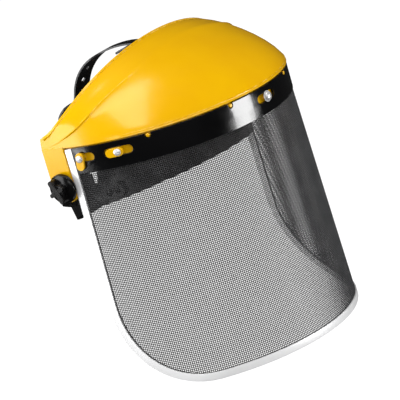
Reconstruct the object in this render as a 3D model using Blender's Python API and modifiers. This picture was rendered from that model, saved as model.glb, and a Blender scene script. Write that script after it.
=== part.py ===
"""Face shield: wire-mesh visor in an aluminium edge binding, hung from a moulded browguard
that tilts on two hand knobs carried by a head harness with a crown strap.

Worn pose, +Z up, the wearer looks along -Y, the wearer's right hand is at -X.
The origin is the centre of the headband.  All lengths are metres.
"""
import math

import bmesh
import bpy
import numpy as np
from mathutils import Matrix, Vector
from mathutils.geometry import interpolate_bezier

MM = 0.001

# ---- overall layout -------------------------------------------------------------------
SHIELD_Y = -7 * MM            # line through the two ends of the visor, from the head centre
RIM_Z = 54 * MM               # underside of the browguard rim above the head centre
GAP = 0.3 * MM                # clearance between pieces that touch

# ---- visor: a flat sheet bent to a half circle, opening slightly towards the chin -----
VISOR_R = 128 * MM            # bend radius of the middle of the sheet
VISOR_H = 230 * MM            # rim down to the lowest point of the binding
VISOR_FLARE = 0.046           # growth of the bend radius from the band to the bottom
CORNER_R = 82 * MM            # rounded lower corners, measured on the flat sheet
SHEET_T = 0.6 * MM
SHEET_TOP = -2.7 * MM         # top edge of the sheet, under the rim

# ---- aluminium edge binding -----------------------------------------------------------
BINDING_W = 7.2 * MM
BINDING_T = 3.4 * MM
BINDING_TOP = -1.8 * MM
BINDING_EDGE = 1.1 * MM       # rounding of the rolled outer edge
BINDING_WEB = 1.0 * MM        # metal between the sheet's edge and the outside

# ---- black top band -------------------------------------------------------------------
BAND_TOP = -1.6 * MM
BAND_BOTTOM = -24.8 * MM
BAND_T = 2.8 * MM
SLOT_Z = -10.8 * MM
SLOT_H = 7.9 * MM
SLOT_L = 26.4 * MM
REAR_SLOT_START = 191.0 * MM
REAR_SLOT_END = 172.8 * MM
NOTCH_S = (44 * MM, 122 * MM)
NOTCH_W = 5.2 * MM
NOTCH_BOTTOM = -6.2 * MM

# ---- fasteners of the visor -----------------------------------------------------------
TOGGLE_FRONT_S = 150.5 * MM   # along the sheet from its middle
TOGGLE_REAR_S = 186.0 * MM
TOGGLE_HALF_W = 3.8 * MM
TOGGLE_TAB = 10.9 * MM        # screw to tip
TOGGLE_HEEL = 5.2 * MM
TOGGLE_T = 2.4 * MM
TOGGLE_OUT = 2.1 * MM         # underside of the lever outside the sheet's middle
TOGGLE_LOCKED = math.radians(80)   # rear levers hang nearly straight down
POST_R = 2.9 * MM
SCREW_R = 1.35 * MM
SCREW_HEAD_R = 3.3 * MM
SCREW_HEAD_H = 1.8 * MM
PEG_R = 1.7 * MM
PEG_Z = -3.4 * MM
STUD_HEAD_R = 4.1 * MM

# ---- browguard ------------------------------------------------------------------------
FLANGE_OUT = 2.0 * MM         # outside of the flange, inside the sheet's middle
FLANGE_T = 2.3 * MM
FLANGE_BOTTOM = -23.5 * MM
SHELL_T = 2.3 * MM
RIM_OUT = 2.0 * MM            # rim edge outside the sheet's middle
TAIL = 23.6 * MM              # how far the browguard runs on behind the visor's ends
TAIL_Z = 10.5 * MM
CREST_Y = -25 * MM            # rear edge at the middle, from the visor's end line
CREST_Z = 59.6 * MM             # and above the rim
DOME_ROUND = 1.45             # 1 is an elliptical section, 2 is a straight slope
BEAD_R = 2.1 * MM             # rolled bead along the rear edge
CREASE_H = 1.3 * MM           # moulded style line that runs across the shell
CREASE_SPAN = 0.93            # it fades out near the two lugs

# ---- side pivots ----------------------------------------------------------------------
PIVOT_Y = 9.3 * MM            # from the visor's end line
PIVOT_Z = -35 * MM            # from the rim
LUG_R = 14.3 * MM
LUG_OUT = 2.4 * MM
LUG_T = 3.2 * MM
LUG_START = 0.6 * MM
BOSS_R = 8 * MM
BOLT_R = 3.0 * MM
BOLT_HOLE_R = 3.4 * MM
BOLT_HEAD_R = 6.5 * MM
PLATE_OUT = 122.5 * MM        # outside face of the bracket's pivot plate
BRACKET_T = 2.8 * MM
KNOB_R = 13.5 * MM
KNOB_IN = 133.3 * MM
KNOB_OUT = 146.0 * MM

# ---- head harness ---------------------------------------------------------------------
HEAD_HALF_W = 79 * MM         # outside of the headband
HEAD_HALF_L = 95 * MM
HEAD_TILT = math.radians(12)  # the headband drops towards the nape
BAND_H = 30 * MM
HEADBAND_T = 2.0 * MM
STRAP_H = 17.5 * MM
STRAP_T = 1.8 * MM
STRAP_Z = -6.8 * MM           # middle of the nape strap against the headband's
STRAP_SAG = 1.95              # 1/m, extra drop of the strap towards the nape
STRAP_END = -49.5 * MM        # front end of the strap, inside the band
NAPE_HALF_L = 104 * MM        # the strap reaches further back than the band's oval
BAND_END = 15.5 * MM          # rear end of the band's lower corner
BAND_SHOULDER = 5.5 * MM      # and of its upper corner
TAB_W = 26 * MM
TAB_TOP = 57 * MM             # height of the nape tab's upper end
TAB_FOOT = -37.5 * MM
STRAP_PEG = -24 * MM
STRAP_HOLES = 3
SWEAT_T = 4.6 * MM
SWEAT_H = 32 * MM
CROWN_W = 23 * MM
CROWN_NECK_W = 13 * MM        # the straps are narrower where they cross the crown
CROWN_T = 1.6 * MM
# side view of the strap's middle line as (y, z) in mm, from the forehead back to the nape
CROWN_KEYS = ((-87, 50), (-76, 74), (-56, 93), (-32, 104), (-6, 107.5), (18, 104.8), (38, 98),
              (52, 88), (61, 76), (68, 61), (80, 54), (89, 44), (93, 22), (95.5, -8),
              (95.9, -26), (93.4, -38))
HOLE_R = 2.6 * MM
HOLE_PITCH = 13.5 * MM
CROWN_REAR_END = -40 * MM     # where the outer strap ends, over the forehead
CROWN_FRONT_END = 12 * MM     # where the inner strap ends, behind the crown

# pieces that tilt with the shield
SHIELD_NAMES = ("browguard", "visor", "centre_stud", "binding_rivet", "toggle_screw",
                "outer_washer")

# ---- rivets of the harness ------------------------------------------------------------
BRACKET_RIVETS = (-11 * MM, -1 * MM)
BRACKET_RIVET_Z = -5 * MM
TAB_RIVET_Z = 30 * MM
FOOT_RIVET = 8 * MM           # from the front end of the crown strap
CROWN_PEG_Y = -30 * MM
CROWN_FOOT = 20 * MM          # lower end of the rear crown strap
FRONT_SAG = 3.6               # 1/m, the free end of the inner strap drops away
RIVET_R = 2.2 * MM

COLUMN = 12.0 * MM            # spacing of the bend lines
WELD = 0.004 * MM
HALF_ARC = VISOR_R * math.pi / 2
RIVET_S = HALF_ARC - 3.6 * MM  # small rivets through the top corners of the binding
RIVET_HOLE_R = 0.9 * MM

YELLOW = ((0.86, 0.47, 0.004, 1.0), 0.0, 0.3)
BLACK = ((0.012, 0.012, 0.013, 1.0), 0.0, 0.35)
FOAM = ((0.02, 0.02, 0.022, 1.0), 0.0, 0.9)
MESH_METAL = ((0.03, 0.03, 0.032, 1.0), 0.6, 0.5)
ALUMINIUM = ((0.78, 0.79, 0.8, 1.0), 1.0, 0.35)
STEEL = ((0.7, 0.7, 0.7, 1.0), 1.0, 0.2)
FIBRE = ((0.05, 0.05, 0.05, 1.0), 0.0, 0.7)

PARTS = None


# ---- small tools ----------------------------------------------------------------------
def start():
    global PARTS
    for obj in list(bpy.data.objects):
        bpy.data.objects.remove(obj, do_unlink=True)
    PARTS = bpy.data.collections.new("face_shield")
    bpy.context.scene.collection.children.link(PARTS)


def to_object(name, bm):
    bmesh.ops.recalc_face_normals(bm, faces=bm.faces)
    mesh = bpy.data.meshes.new(name)
    bm.to_mesh(mesh)
    bm.free()
    obj = bpy.data.objects.new(name, mesh)
    PARTS.objects.link(obj)
    return obj


def weld(mesh):
    bm = bmesh.new()
    bm.from_mesh(mesh)
    bmesh.ops.remove_doubles(bm, verts=bm.verts, dist=WELD)
    bmesh.ops.dissolve_degenerate(bm, edges=bm.edges, dist=WELD)
    bm.to_mesh(mesh)
    bm.free()


def bake(obj):
    graph = bpy.context.evaluated_depsgraph_get()
    graph.update()
    mesh = bpy.data.meshes.new_from_object(obj.evaluated_get(graph))
    obj.modifiers.clear()
    weld(mesh)
    if obj.type != "MESH":
        solid = bpy.data.objects.new(obj.name + "_solid", mesh)
        PARTS.objects.link(solid)
        name = obj.name
        bpy.data.objects.remove(obj, do_unlink=True)
        solid.name = name
        return solid
    obj.data = mesh
    return obj


def boolean(obj, other, operation):
    mod = obj.modifiers.new(operation.lower(), "BOOLEAN")
    mod.operation = operation
    mod.solver = "EXACT"
    mod.object = other
    bake(obj)
    bpy.data.objects.remove(other, do_unlink=True)
    return obj


def cut(obj, *tools):
    for tool in tools:
        boolean(obj, tool, "DIFFERENCE")
    return obj


def join(obj, *others):
    for other in others:
        boolean(obj, other, "UNION")
    return obj


def soften(obj, width, segments=2, angle=40):
    mod = obj.modifiers.new("edges", "BEVEL")
    mod.width = width
    mod.segments = segments
    mod.limit_method = "ANGLE"
    mod.angle_limit = math.radians(angle)
    return bake(obj)


def prism(name, outline, inner, outer):
    """Flat plate: outline in (along, up), thickness from inner to outer towards -Y."""
    bm = bmesh.new()
    face = bm.faces.new([bm.verts.new((a, -inner, z)) for a, z in outline])
    grown = bmesh.ops.extrude_face_region(bm, geom=[face])
    moved = [g for g in grown["geom"] if isinstance(g, bmesh.types.BMVert)]
    bmesh.ops.translate(bm, verts=moved, vec=(0, inner - outer, 0))
    return to_object(name, bm)


def block(name, low, high):
    outline = [(low[0], low[2]), (high[0], low[2]), (high[0], high[2]), (low[0], high[2])]
    return prism(name, outline, -high[1], -low[1])


def disc(name, radius, start_at, end_at, segments=32):
    """Cylinder along -Y, from start_at out to end_at."""
    bm = bmesh.new()
    bmesh.ops.create_cone(bm, cap_ends=True, segments=segments, radius1=radius, radius2=radius,
                          depth=end_at - start_at,
                          matrix=Matrix.Rotation(math.pi / 2, 4, "X"))
    bmesh.ops.translate(bm, verts=bm.verts, vec=(0, -(start_at + end_at) / 2, 0))
    return to_object(name, bm)


def turned(name, profile, segments=32):
    """Body of revolution about the Y axis: profile is (radius, distance towards -Y)."""
    bm = bmesh.new()
    verts = [bm.verts.new((r, -d, 0)) for r, d in profile]
    edges = [bm.edges.new(pair) for pair in zip(verts, verts[1:])]
    bmesh.ops.spin(bm, geom=verts + edges, cent=(0, 0, 0), axis=(0, 1, 0),
                   angle=2 * math.pi, steps=segments, use_duplicate=False)
    bmesh.ops.remove_doubles(bm, verts=bm.verts, dist=1e-6)
    return to_object(name, bm)


def arc(centre, radius, begin, end, steps):
    turn = math.radians(end - begin) / steps
    first = math.radians(begin)
    return [(centre[0] + radius * math.cos(first + turn * i),
             centre[1] + radius * math.sin(first + turn * i)) for i in range(steps + 1)]


def rounded_box(left, right, low, high, radius, steps=6):
    return (arc((right - radius, high - radius), radius, 90, 0, steps)
            + arc((right - radius, low + radius), radius, 0, -90, steps)
            + arc((left + radius, low + radius), radius, -90, -180, steps)
            + arc((left + radius, high - radius), radius, 180, 90, steps))


def place(obj, matrix):
    obj.data.transform(matrix)
    if matrix.determinant() < 0:
        obj.data.flip_normals()
    return obj


class Track:
    """A plan curve that flat plates are bent along; s runs from the middle of the curve."""

    def __init__(self, points):
        self.points = np.array(points)
        steps = np.diff(self.points, axis=0)
        lengths = np.hypot(steps[:, 0], steps[:, 1])
        self.s = np.concatenate([[0.0], np.cumsum(lengths)])
        self.s -= self.s[-1] / 2
        way = np.gradient(self.points, self.s, axis=0)
        way /= np.hypot(way[:, 0], way[:, 1])[:, None]
        self.out = np.stack([way[:, 1], -way[:, 0]], axis=1)

    def at(self, s):
        inside = min(max(s, self.s[0]), self.s[-1])
        point = np.array([np.interp(inside, self.s, self.points[:, i]) for i in (0, 1)])
        out = np.array([np.interp(inside, self.s, self.out[:, i]) for i in (0, 1)])
        out /= np.hypot(out[0], out[1])
        point = point + (s - inside) * np.array([-out[1], out[0]])
        return point, out


def visor_track():
    angles = np.linspace(-math.pi / 2, math.pi / 2, 181)
    return Track([(VISOR_R * math.sin(a), -VISOR_R * math.cos(a)) for a in angles])


def head_track(rear=False):
    """Oval of the headband; the rear one runs through the nape and is longer behind."""
    angles = np.linspace(-math.pi * 0.8, math.pi * 0.8, 289)
    side = -1 if rear else 1
    points = []
    for a in angles:
        x, y = HEAD_HALF_W * math.sin(a), -HEAD_HALF_L * math.cos(a)
        y *= side
        if rear and y > 0:
            y *= NAPE_HALF_L / HEAD_HALF_L
        points.append((side * x, y))
    return Track(points)


def crown_track():
    """Side view of the crown strap as (-y, z), from the forehead over the top to the nape."""
    foot = HEAD_HALF_L + GAP + CROWN_T / 2
    low = [TO_HEAD @ Vector((0, -foot, z * MM)) for z in (-8, 4, 15)]
    keys = [Vector((-v.y, v.z)) for v in low] + [Vector((-y, z)) * MM for y, z in CROWN_KEYS]
    points = []
    for i in range(len(keys) - 1):
        a, b = keys[i], keys[i + 1]
        before = keys[max(i - 1, 0)]
        after = keys[min(i + 2, len(keys) - 1)]
        pull = (b - a).length / 3
        lead = (b - before).normalized() * pull
        trail = (after - a).normalized() * pull
        points += [tuple(v) for v in interpolate_bezier(a, a + lead, b - trail, b, 9)][:-1]
    return Track(points + [tuple(keys[-1])])


def slice_columns(obj, spacing, span=1.0):
    bm = bmesh.new()
    bm.from_mesh(obj.data)
    xs = [v.co.x for v in bm.verts]
    first = math.ceil(max(min(xs), -span) / spacing)
    last = math.floor(min(max(xs), span) / spacing)
    for i in range(first, last + 1):
        bmesh.ops.bisect_plane(bm, geom=bm.verts[:] + bm.edges[:] + bm.faces[:], dist=3e-5,
                               plane_co=(i * spacing, 0, 0), plane_no=(1, 0, 0))
    bmesh.ops.triangulate(bm, faces=[f for f in bm.faces if len(f.verts) > 4])
    bm.to_mesh(obj.data)
    bm.free()


def slice_level(obj, z):
    bm = bmesh.new()
    bm.from_mesh(obj.data)
    bmesh.ops.bisect_plane(bm, geom=bm.verts[:] + bm.edges[:] + bm.faces[:], dist=3e-5,
                           plane_co=(0, 0, z), plane_no=(0, 0, 1))
    bmesh.ops.triangulate(bm, faces=[f for f in bm.faces if len(f.verts) > 4])
    bm.to_mesh(obj.data)
    bm.free()


def bend(obj, track, grow=None, spacing=COLUMN, span=1.0):
    """Bend a flat plate (along, out = -Y, up) round a plan curve."""
    slice_columns(obj, spacing, span)
    if grow:
        slice_level(obj, BAND_BOTTOM)
    for vert in obj.data.vertices:
        point, out = track.at(vert.co.x)
        scale = grow(vert.co.z) if grow else 1.0
        x, y = point * scale - out * vert.co.y
        vert.co = (x, y, vert.co.z)
    return obj


def flare(z):
    span = VISOR_H + BAND_BOTTOM
    return 1.0 + VISOR_FLARE * max(0.0, BAND_BOTTOM - z) / span


def on_visor(s, out=0.0, z=0.0):
    """Frame standing on the bent sheet: local -Y points outwards."""
    point, normal = TRACK.at(s)
    turn = math.atan2(normal[0], -normal[1])
    spot = Matrix.Translation((point[0] + normal[0] * out, point[1] + normal[1] * out, z))
    return spot @ Matrix.Rotation(turn, 4, "Z")


TO_SHIELD = Matrix.Translation((0, SHIELD_Y, RIM_Z))
TO_HEAD = Matrix.Rotation(-HEAD_TILT, 4, "X")


def coat(obj, name, look, smooth=35):
    obj.name = name
    obj.data.name = name
    mat = bpy.data.materials.new(name)
    mat.use_nodes = True
    shader = mat.node_tree.nodes["Principled BSDF"]
    shader.inputs["Base Color"].default_value = look[0]
    shader.inputs["Metallic"].default_value = look[1]
    shader.inputs["Roughness"].default_value = look[2]
    obj.data.materials.clear()
    obj.data.materials.append(mat)
    obj.data.set_sharp_from_angle(angle=math.radians(smooth))
    return obj


def set_origin(obj, point):
    obj.data.transform(Matrix.Translation(-Vector(point)))
    obj.location = point


def mirror_copy(obj, name, look):
    """The same piece on the wearer's left."""
    twin = bpy.data.objects.new(name, obj.data.copy())
    PARTS.objects.link(twin)
    place(twin, Matrix.Translation(obj.location))
    place(twin, Matrix.Scale(-1, 4, (1, 0, 0)))
    return coat(twin, name, look)


# ---- visor ----------------------------------------------------------------------------
def sheet_outline(inset, top):
    """Outline of the flat sheet, pulled in by inset from the outside of the binding."""
    half = HALF_ARC - inset
    low = -VISOR_H + inset
    radius = CORNER_R - inset
    return ([(half, top)]
            + arc((half - radius, low + radius), radius, 0, -90, 15)
            + arc((radius - half, low + radius), radius, -90, -180, 15)
            + [(-half, top)])


def slot_tools(name):
    """Every opening through the top band and the sheet behind it."""
    reach = 6 * MM
    half = SLOT_L / 2
    low, high = SLOT_Z - SLOT_H / 2, SLOT_Z + SLOT_H / 2
    spans = [(-half, half)]
    for side in (-1, 1):
        spans.append((side * TOGGLE_FRONT_S - half, side * TOGGLE_FRONT_S + half))
        ends = sorted((side * REAR_SLOT_START, side * REAR_SLOT_END))
        spans.append((ends[0], ends[1]))
    tools = [prism(name, rounded_box(a, b, low, high, SLOT_H / 2 - 1e-5, 3), -reach, reach)
             for a, b in spans]
    for s in NOTCH_S:
        for side in (-1, 1):
            outline = rounded_box(side * s - NOTCH_W / 2, side * s + NOTCH_W / 2,
                                  NOTCH_BOTTOM, 8 * MM, NOTCH_W / 2 - 1e-5, 2)
            tools.append(prism(name, outline, -reach, reach))
    return tools


def visor_mesh():
    sheet = prism("sheet", sheet_outline(BINDING_WEB + GAP, SHEET_TOP), -SHEET_T / 2, SHEET_T / 2)
    cut(sheet, *slot_tools("slot"))
    for side in (-1, 1):
        hole = disc("hole", RIVET_HOLE_R, -MM, MM, 12)
        cut(sheet, place(hole, Matrix.Translation((side * RIVET_S, 0, SLOT_Z))))
    bend(sheet, TRACK, flare)
    place(sheet, TO_SHIELD)
    coat(sheet, "visor_mesh", MESH_METAL)


def visor_edge_binding():
    half = BINDING_T / 2
    rail = prism("rail", sheet_outline(0.0, BINDING_TOP), -half, half)
    soften(rail, BINDING_EDGE, 2)
    cut(rail,
        prism("inside", sheet_outline(BINDING_W, 10 * MM), -4 * half, 4 * half),
        prism("groove", sheet_outline(BINDING_WEB, 9 * MM), -SHEET_T / 2 - GAP, SHEET_T / 2 + GAP))
    for side in (-1, 1):
        hole = disc("hole", RIVET_HOLE_R, -2 * half, 2 * half, 12)
        place(hole, Matrix.Translation((side * RIVET_S, 0, SLOT_Z)))
        cut(rail, hole)
    bend(rail, TRACK, flare)
    place(rail, TO_SHIELD)
    coat(rail, "visor_edge_binding", ALUMINIUM)


def visor_top_band():
    half = BAND_T / 2
    reach = HALF_ARC - BINDING_W - GAP
    band = block("band", (-reach, -half, BAND_BOTTOM), (reach, half, BAND_TOP))
    groove = SHEET_T / 2 + GAP
    cut(band, block("groove", (-reach - MM, -groove, BAND_BOTTOM - MM),
                    (reach + MM, groove, SHEET_TOP + GAP)))
    cut(band, *slot_tools("slot"))
    bend(band, TRACK)
    place(band, TO_SHIELD)
    coat(band, "visor_top_band", BLACK)


# ---- toggles and screws ---------------------------------------------------------------
def toggle(name, s, turn):
    """Turn lever; turn is the angle of its tab from pointing to the rear."""
    lever = prism("lever", rounded_box(-TOGGLE_TAB, TOGGLE_HEEL, -TOGGLE_HALF_W, TOGGLE_HALF_W,
                                       TOGGLE_HALF_W - 1e-5, 4), 0, TOGGLE_T)
    soften(lever, 0.6 * MM, 1)
    cut(lever, disc("hole", SCREW_R + GAP, -MM, TOGGLE_T + MM, 12))
    frame = TO_SHIELD @ on_visor(s, TOGGLE_OUT, SLOT_Z)
    place(lever, frame @ Matrix.Rotation(turn, 4, "Y"))
    set_origin(lever, frame.translation)
    coat(lever, name, YELLOW)
    return lever


def screw_profile(length):
    base = TOGGLE_OUT + TOGGLE_T + GAP
    head = [(0.0, base + SCREW_HEAD_H)]
    for i in range(1, 4):
        a = math.pi / 2 * i / 4
        head.append((SCREW_HEAD_R * math.sin(a), base + SCREW_HEAD_H * (0.3 + 0.7 * math.cos(a))))
    return head + [(SCREW_HEAD_R, base), (SCREW_R, base), (SCREW_R, base - length),
                   (0.0, base - length)]


def toggle_screw(name, s, turn):
    screw = turned("screw", screw_profile(6.4 * MM), 14)
    top = TOGGLE_OUT + TOGGLE_T + GAP + SCREW_HEAD_H
    slot = block("slot", (-5 * MM, -top - MM, -0.45 * MM), (5 * MM, -top + 0.75 * MM, 0.45 * MM))
    cut(screw, slot)
    place(screw, TO_SHIELD @ on_visor(s, 0, SLOT_Z) @ Matrix.Rotation(turn, 4, "Y"))
    coat(screw, name, STEEL)
    return screw


def centre_stud():
    base = BAND_T / 2 + GAP
    collar = turned("collar", [(SCREW_R + GAP, base), (STUD_HEAD_R + 0.9 * MM, base),
                               (STUD_HEAD_R + 0.9 * MM, base + 0.9 * MM),
                               (SCREW_R + GAP, base + 0.9 * MM), (SCREW_R + GAP, base)], 18)
    place(collar, TO_SHIELD @ on_visor(0, 0, SLOT_Z))
    coat(collar, "centre_stud_collar", BLACK)
    foot = base + 0.9 * MM + GAP
    head = [(0.0, foot + 2.6 * MM)]
    for i in range(1, 4):
        a = math.pi / 2 * i / 4
        head.append((STUD_HEAD_R * math.sin(a), foot + 0.4 * MM + 2.2 * MM * math.cos(a)))
    head += [(STUD_HEAD_R, foot), (SCREW_R, foot), (SCREW_R, foot - 4.5 * MM), (0.0, foot - 4.5 * MM)]
    stud = turned("stud", head, 18)
    place(stud, TO_SHIELD @ on_visor(0, 0, SLOT_Z))
    coat(stud, "centre_stud", STEEL)


def binding_rivet():
    half = BINDING_T / 2
    rivet = turned("rivet", [(0, half + 0.35 * MM), (0.5 * MM, half + 0.28 * MM),
                             (0.6 * MM, half + 0.05 * MM), (0.6 * MM, -half), (0, -half)], 12)
    place(rivet, TO_SHIELD @ on_visor(-RIVET_S, 0, SLOT_Z))
    coat(rivet, "binding_rivet_right", STEEL)
    mirror_copy(rivet, "binding_rivet_left", STEEL)


# ---- browguard ------------------------------------------------------------------------
def rear_edge(t):
    """Point of the browguard's rear edge; t runs from -1 at the right lug to 1."""
    a = t * math.pi / 2
    lean = math.cos(a)
    return ((VISOR_R + RIM_OUT) * math.sin(a),
            TAIL - 1.5 * MM + (CREST_Y - TAIL + 1.5 * MM) * lean ** 0.68,
            TAIL_Z + (CREST_Z - TAIL_Z) * lean ** 1.18)


def crease_u(t):
    """Where the style line runs between the rim (0) and the rear edge (1)."""
    side = abs(t)
    return 0.765 - 0.2 * side - 1.5 * max(0.0, side - 0.5) ** 2


def dome_point(t, u, ridge=0.0):
    point, out = TRACK.at(t * (HALF_ARC + TAIL))
    rim = point + out * RIM_OUT
    edge = rear_edge(t)
    sweep = 1.0 - math.cos(u * math.pi / 2) ** DOME_ROUND
    rise = math.sin(u * math.pi / 2) ** DOME_ROUND
    spot = Vector((rim[0] + (edge[0] - rim[0]) * sweep,
                   rim[1] + (edge[1] - rim[1]) * sweep,
                   edge[2] * rise))
    return spot + (spot - Vector((0, 0, -30 * MM))).normalized() * ridge


def dome_rows(t):
    """Grid rows from rim to rear edge as (u, ridge height); three of them follow the crease."""
    line = crease_u(t)
    fade = smooth_step((CREASE_SPAN - abs(t)) / 0.12) * (0.1 + 0.9 * min(1.0, abs(t) / 0.6))
    half = 0.022
    lower = [((line - half) * i / 6, 0.0) for i in range(6)]
    upper = [(1.0 - (1.0 - line - half) * i / 3, 0.0) for i in range(2, -1, -1)]
    return (lower + [(line - half, 0.0), (line, CREASE_H * fade), (line + half, 0.0)] + upper)


def dome_shell():
    across = 40
    bm = bmesh.new()
    columns = []
    for i in range(across + 1):
        t = -1.0 + 2.0 * i / across
        columns.append([bm.verts.new(dome_point(t, u, ridge)) for u, ridge in dome_rows(t)])
    for left, right in zip(columns, columns[1:]):
        for j in range(len(left) - 1):
            bm.faces.new((left[j], right[j], right[j + 1], left[j + 1]))
    shell = to_object("shell", bm)
    mod = shell.modifiers.new("wall", "SOLIDIFY")
    mod.thickness = SHELL_T
    facing = sum(face.normal.z for face in shell.data.polygons)
    mod.offset = -1 if facing > 0 else 1
    mod.use_even_offset = False
    return bake(shell)


def edge_bead():
    curve = bpy.data.curves.new("bead", "CURVE")
    curve.dimensions = "3D"
    curve.bevel_depth = BEAD_R
    curve.bevel_resolution = 1
    curve.use_fill_caps = True
    steps = 40
    line = curve.splines.new("POLY")
    line.points.add(steps)
    for i, point in enumerate(line.points):
        t = -0.985 + 1.97 * i / steps
        x, y, z = rear_edge(t)
        point.co = (x * 0.993, y, z - SHELL_T * 0.45, 1)
    bead = bpy.data.objects.new("bead", curve)
    PARTS.objects.link(bead)
    return bake(bead)


def flange():
    """Vertical wall behind the top band, the ledge under the rim and the two lugs."""
    inner = -FLANGE_OUT - FLANGE_T
    reach = HALF_ARC + 3.4 * MM
    wall = block("flange", (-reach, FLANGE_OUT, FLANGE_BOTTOM), (reach, -inner, 1.2 * MM))
    ledge = block("ledge", (-HALF_ARC - TAIL + 0.4 * MM, -RIM_OUT + 0.4 * MM, 0.0),
                  (HALF_ARC + TAIL - 0.4 * MM, -inner - 0.1 * MM, 2.2 * MM))
    join(wall, ledge)
    for side in (-1, 1):
        centre = HALF_ARC + PIVOT_Y
        front = HALF_ARC + LUG_START
        dip = math.degrees(math.acos((front - centre) / LUG_R))
        outline = ([(front, 1.0 * MM), (HALF_ARC + TAIL, 1.0 * MM)]
                   + arc((centre, PIVOT_Z), LUG_R, 0, -dip, 16))
        if side < 0:
            outline = [(-a, z) for a, z in outline]
        lug = prism("lug", outline, LUG_OUT - LUG_T, LUG_OUT)
        rib = [(side * front, 1.1 * MM), (side * (front + 2.6 * MM), 1.1 * MM),
               (side * (front + 2.6 * MM), FLANGE_BOTTOM), (side * front, FLANGE_BOTTOM)]
        rib = prism("rib", rib, inner, LUG_OUT - 0.4 * MM)
        boss = disc("boss", BOSS_R, -4.0 * MM, LUG_OUT - 0.5 * MM, 20)
        place(boss, Matrix.Translation((side * centre, 0, PIVOT_Z)))
        join(wall, rib, lug, boss)
        hole = disc("hole", BOLT_HOLE_R, -8 * MM, 8 * MM, 16)
        place(hole, Matrix.Translation((side * centre, 0, PIVOT_Z)))
        cut(wall, hole)
    return bend(wall, TRACK)


def flange_pins():
    """Screw posts, the stud's post and the locating pegs, standing on the flange."""
    root = -FLANGE_OUT - FLANGE_T / 2
    pins = []
    for s in (-TOGGLE_REAR_S, -TOGGLE_FRONT_S, 0.0, TOGGLE_FRONT_S, TOGGLE_REAR_S):
        top = BAND_T / 2 if s == 0 else TOGGLE_OUT - GAP
        pin = disc("post", POST_R, root, top, 14)
        place(pin, on_visor(s, 0, SLOT_Z))
        pins.append(pin)
    for s in NOTCH_S:
        for side in (-1, 1):
            pin = disc("peg", PEG_R, root, 2.1 * MM, 12)
            soften(pin, 0.5 * MM, 1)
            place(pin, on_visor(side * s, 0, PEG_Z))
            pins.append(pin)
    return pins


def screw_bores():
    bores = []
    for s in (-TOGGLE_REAR_S, -TOGGLE_FRONT_S, 0.0, TOGGLE_FRONT_S, TOGGLE_REAR_S):
        bore = disc("bore", SCREW_R + GAP, -12 * MM, 12 * MM, 12)
        place(bore, on_visor(s, 0, SLOT_Z))
        bores.append(bore)
    return bores


def browguard():
    guard = dome_shell()
    join(guard, flange(), edge_bead())
    join(guard, *flange_pins())
    cut(guard, *screw_bores())
    place(guard, TO_SHIELD)
    coat(guard, "browguard", YELLOW, 38)


# ---- side pivots ----------------------------------------------------------------------
def pivot_frame():
    """Local -Y runs outwards along the right-hand pivot axis, local zero on the mid-plane."""
    centre = (0, SHIELD_Y + PIVOT_Y, RIM_Z + PIVOT_Z)
    return Matrix.Translation(centre) @ Matrix.Rotation(-math.pi / 2, 4, "Z")


def pivot_knob():
    face = KNOB_IN + 4.2 * MM
    knob = turned("knob", [(0, face + 1.0 * MM), (6.5 * MM, face + 1.0 * MM), (KNOB_R - 1.8 * MM, face),
                           (KNOB_R - 0.4 * MM, face - 1.0 * MM), (KNOB_R, face - 2.0 * MM),
                           (KNOB_R, KNOB_IN), (0, KNOB_IN)], 30)
    hub = turned("hub", [(0, KNOB_OUT - 2.5 * MM), (5.6 * MM, KNOB_OUT - 2.5 * MM),
                         (6.4 * MM, KNOB_OUT - 3.3 * MM), (7.0 * MM, face - MM), (0, face - MM)], 18)
    bar = prism("bar", rounded_box(-11.6 * MM, 11.6 * MM, -2.6 * MM, 2.6 * MM, 2.2 * MM, 3),
                face - MM, KNOB_OUT)
    cross = prism("cross", rounded_box(-8.4 * MM, 8.4 * MM, -1.9 * MM, 1.9 * MM, 1.6 * MM, 3),
                  face - 1.1 * MM, KNOB_OUT - 1.2 * MM)
    place(cross, Matrix.Rotation(math.pi / 2, 4, "Y"))
    soften(bar, 0.8 * MM, 1)
    join(knob, hub, bar, cross)
    cut(knob, disc("bore", BOLT_R + GAP, KNOB_IN - MM, KNOB_OUT - 4.5 * MM, 16))
    place(knob, pivot_frame() @ Matrix.Rotation(math.radians(67), 4, "Y"))
    set_origin(knob, (-KNOB_IN, SHIELD_Y + PIVOT_Y, RIM_Z + PIVOT_Z))
    coat(knob, "pivot_knob_right", BLACK)
    twin = mirror_copy(knob, "pivot_knob_left", BLACK)
    set_origin(twin, (KNOB_IN, SHIELD_Y + PIVOT_Y, RIM_Z + PIVOT_Z))


def ring(name, inner_r, outer_r, begin, end, look):
    piece = turned("ring", [(inner_r, begin), (outer_r, begin), (outer_r, end), (inner_r, end),
                            (inner_r, begin)], 20)
    place(piece, pivot_frame())
    coat(piece, name + "_right", look)
    mirror_copy(piece, name + "_left", look)


def pivot_bolt():
    inside = PLATE_OUT - BRACKET_T - GAP
    bolt = turned("bolt", [(0, inside - 2.6 * MM), (4.2 * MM, inside - 2.2 * MM),
                           (6.0 * MM, inside - 1.1 * MM), (BOLT_HEAD_R, inside), (BOLT_R, inside),
                           (BOLT_R, KNOB_OUT - 5.0 * MM), (0, KNOB_OUT - 5.0 * MM)], 18)
    place(bolt, pivot_frame())
    coat(bolt, "pivot_bolt_right", STEEL)
    mirror_copy(bolt, "pivot_bolt_left", STEEL)


def hull(points):
    """Convex outline round a set of points."""
    def chain(ordered):
        line = []
        for p in ordered:
            while len(line) > 1 and ((line[-1][0] - line[-2][0]) * (p[1] - line[-2][1])
                                     - (line[-1][1] - line[-2][1]) * (p[0] - line[-2][0])) <= 0:
                line.pop()
            line.append(p)
        return line[:-1]
    ordered = sorted(points)
    return chain(ordered) + chain(ordered[::-1])


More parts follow.
